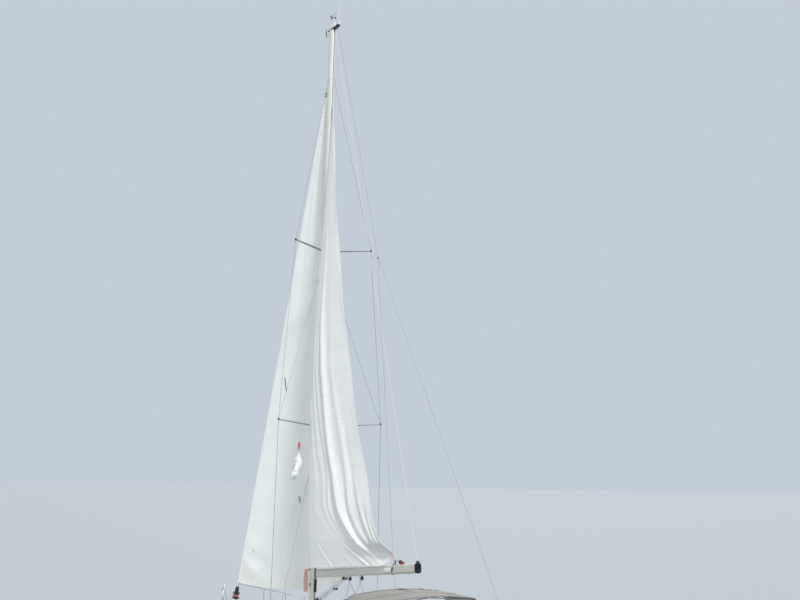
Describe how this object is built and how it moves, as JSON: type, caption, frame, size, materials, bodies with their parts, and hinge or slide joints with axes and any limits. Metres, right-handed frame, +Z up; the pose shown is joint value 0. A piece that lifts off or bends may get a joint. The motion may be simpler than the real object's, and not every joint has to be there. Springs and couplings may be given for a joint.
{
  "type": "sailing yacht",
  "caption": "Sailing yacht, a 13 m cruising sloop under mainsail and genoa, with fin keel, spade rudder, twin helms, bimini and sprayhood.",
  "frame": {"origin": "on the centreline at the waterline, halfway along the hull", "axes": "+X to the bow, +Y to port, +Z up"},
  "size_m": [13.279, 4.2096, 21.1531],
  "materials": {
    "gelcoat": "white gelcoat",
    "gelcoat_cockpit": "white gelcoat with teak",
    "antifouling": "matte dark antifouling",
    "acrylic": "smoked acrylic",
    "anodised": "clear anodised",
    "mast_paint": "pale painted aluminium",
    "stainless": "polished stainless",
    "bronze": "propeller bronze",
    "black_plastic": "black glass filled nylon",
    "sailcloth": "woven polyester",
    "canvas": "taupe acrylic canvas",
    "engine_paint": "green engine enamel",
    "teak": "oiled teak",
    "galvanised": "hot dip galvanised steel",
    "white_plastic": "white plastic"
  },
  "bodies": {
    "hull": {"hull": "gelcoat", "deck": "gelcoat", "coachroof": "gelcoat", "cabin_windows": "acrylic", "cockpit": "gelcoat_cockpit", "keel": "antifouling", "saildrive": "antifouling", "helm_pedestals": "gelcoat", "mast": "mast_paint", "masthead_crane": "anodised", "spreaders": "anodised", "chainplates": "stainless", "shrouds": "stainless", "stemhead": "stainless", "anchor": "galvanised", "hatch_hinges": "stainless", "winches": "stainless", "mooring_cleats": "stainless", "genoa_tracks": "black_plastic", "grab_rails": "stainless", "forestay": "anodised", "headsail_furler": "black_plastic", "backstay": "stainless", "gooseneck": "stainless", "vang_bracket": "stainless", "genoa": "sailcloth", "stanchions": "stainless", "pulpit": "stainless", "pushpit": "stainless", "bimini": "canvas", "bimini_frame": "stainless", "sprayhood": "canvas", "engine": "engine_paint", "companionway_steps": "teak", "antenna": "white_plastic", "instrument_arm": "anodised"},
    "boom": {"boom": "anodised", "outhaul": "black_plastic", "vang": "black_plastic", "mainsail": "sailcloth"},
    "rudder": {"rudder": "antifouling"},
    "propeller": {"propeller": "bronze"},
    "helm_port": {"helm_wheel_port": "stainless"},
    "helm_starboard": {"helm_wheel_starboard": "stainless"},
    "locker_port": {"locker_lid_port": "teak"},
    "locker_starboard": {"locker_lid_starboard": "teak"},
    "slide": {"companionway_slide": "acrylic"},
    "saloon_hatch": {"saloon_hatch": "acrylic"},
    "fore_hatch": {"fore_hatch": "acrylic"},
    "anchor_locker": {"anchor_locker_lid": "gelcoat"},
    "platform": {"bathing_platform": "gelcoat"},
    "wind_vane": {"wind_vane": "black_plastic"},
    "wind_cups": {"wind_cups": "black_plastic"}
  },
  "joints": [
    {"name": "boom_swing", "type": "hinge", "parent": "hull", "child": "boom", "pos_m": [0.88802, 0, 3.04717], "axis": [-0.0175, 0, 0.9998], "range_deg": [-60, 60], "deforming": ["mainsail"]},
    {"name": "rudder_turn", "type": "hinge", "parent": "hull", "child": "rudder", "pos_m": [-5.35, 0, 0.3], "axis": [0, 0, 1], "range_deg": [-35, 35]},
    {"name": "helm_port_turn", "type": "hinge", "parent": "hull", "child": "helm_port", "pos_m": [-5.15, 0.9, 1.37], "axis": [1, 0, 0], "range_deg": [-420, 420]},
    {"name": "helm_starboard_turn", "type": "hinge", "parent": "hull", "child": "helm_starboard", "pos_m": [-5.15, -0.9, 1.37], "axis": [1, 0, 0], "range_deg": [-420, 420]},
    {"name": "propeller_spin", "type": "hinge", "parent": "hull", "child": "propeller", "pos_m": [-1.53, 0, -0.93], "axis": [1, 0, 0], "continuous": true},
    {"name": "locker_port_open", "type": "hinge", "parent": "hull", "child": "locker_port", "pos_m": [-3.3, 1.045, 1.214], "axis": [-1, 0, 0], "range_deg": [0, 80]},
    {"name": "locker_starboard_open", "type": "hinge", "parent": "hull", "child": "locker_starboard", "pos_m": [-3.3, -1.045, 1.214], "axis": [1, 0, 0], "range_deg": [0, 80]},
    {"name": "slide_forward", "type": "slide", "parent": "hull", "child": "slide", "axis": [1, 0, 0], "range_m": [0, 0.6]},
    {"name": "saloon_hatch_open", "type": "hinge", "parent": "hull", "child": "saloon_hatch", "pos_m": [0.156, 0, 1.8693], "axis": [0, 1, 0], "range_deg": [0, 100]},
    {"name": "fore_hatch_open", "type": "hinge", "parent": "hull", "child": "fore_hatch", "pos_m": [2.976, 0, 1.7993], "axis": [0, 1, 0], "range_deg": [0, 100]},
    {"name": "anchor_locker_open", "type": "hinge", "parent": "hull", "child": "anchor_locker", "pos_m": [5.246, 0, 1.6743], "axis": [0, 1, 0], "range_deg": [0, 70]},
    {"name": "platform_fold", "type": "hinge", "parent": "hull", "child": "platform", "pos_m": [-6.5, 0, 0.3], "axis": [0, -1, 0], "range_deg": [0, 90]},
    {"name": "vane_turn", "type": "hinge", "parent": "hull", "child": "wind_vane", "pos_m": [1.14821, 0, 18.10572], "axis": [0, 0, 1], "continuous": true},
    {"name": "cups_spin", "type": "hinge", "parent": "hull", "child": "wind_cups", "pos_m": [0.80821, 0, 18.46271], "axis": [0, 0, 1], "continuous": true}
  ],
  "couplings": [
    {"joint": "helm_port_turn", "follows": "rudder_turn", "ratio": -12},
    {"joint": "helm_starboard_turn", "follows": "rudder_turn", "ratio": -12}
  ]
}
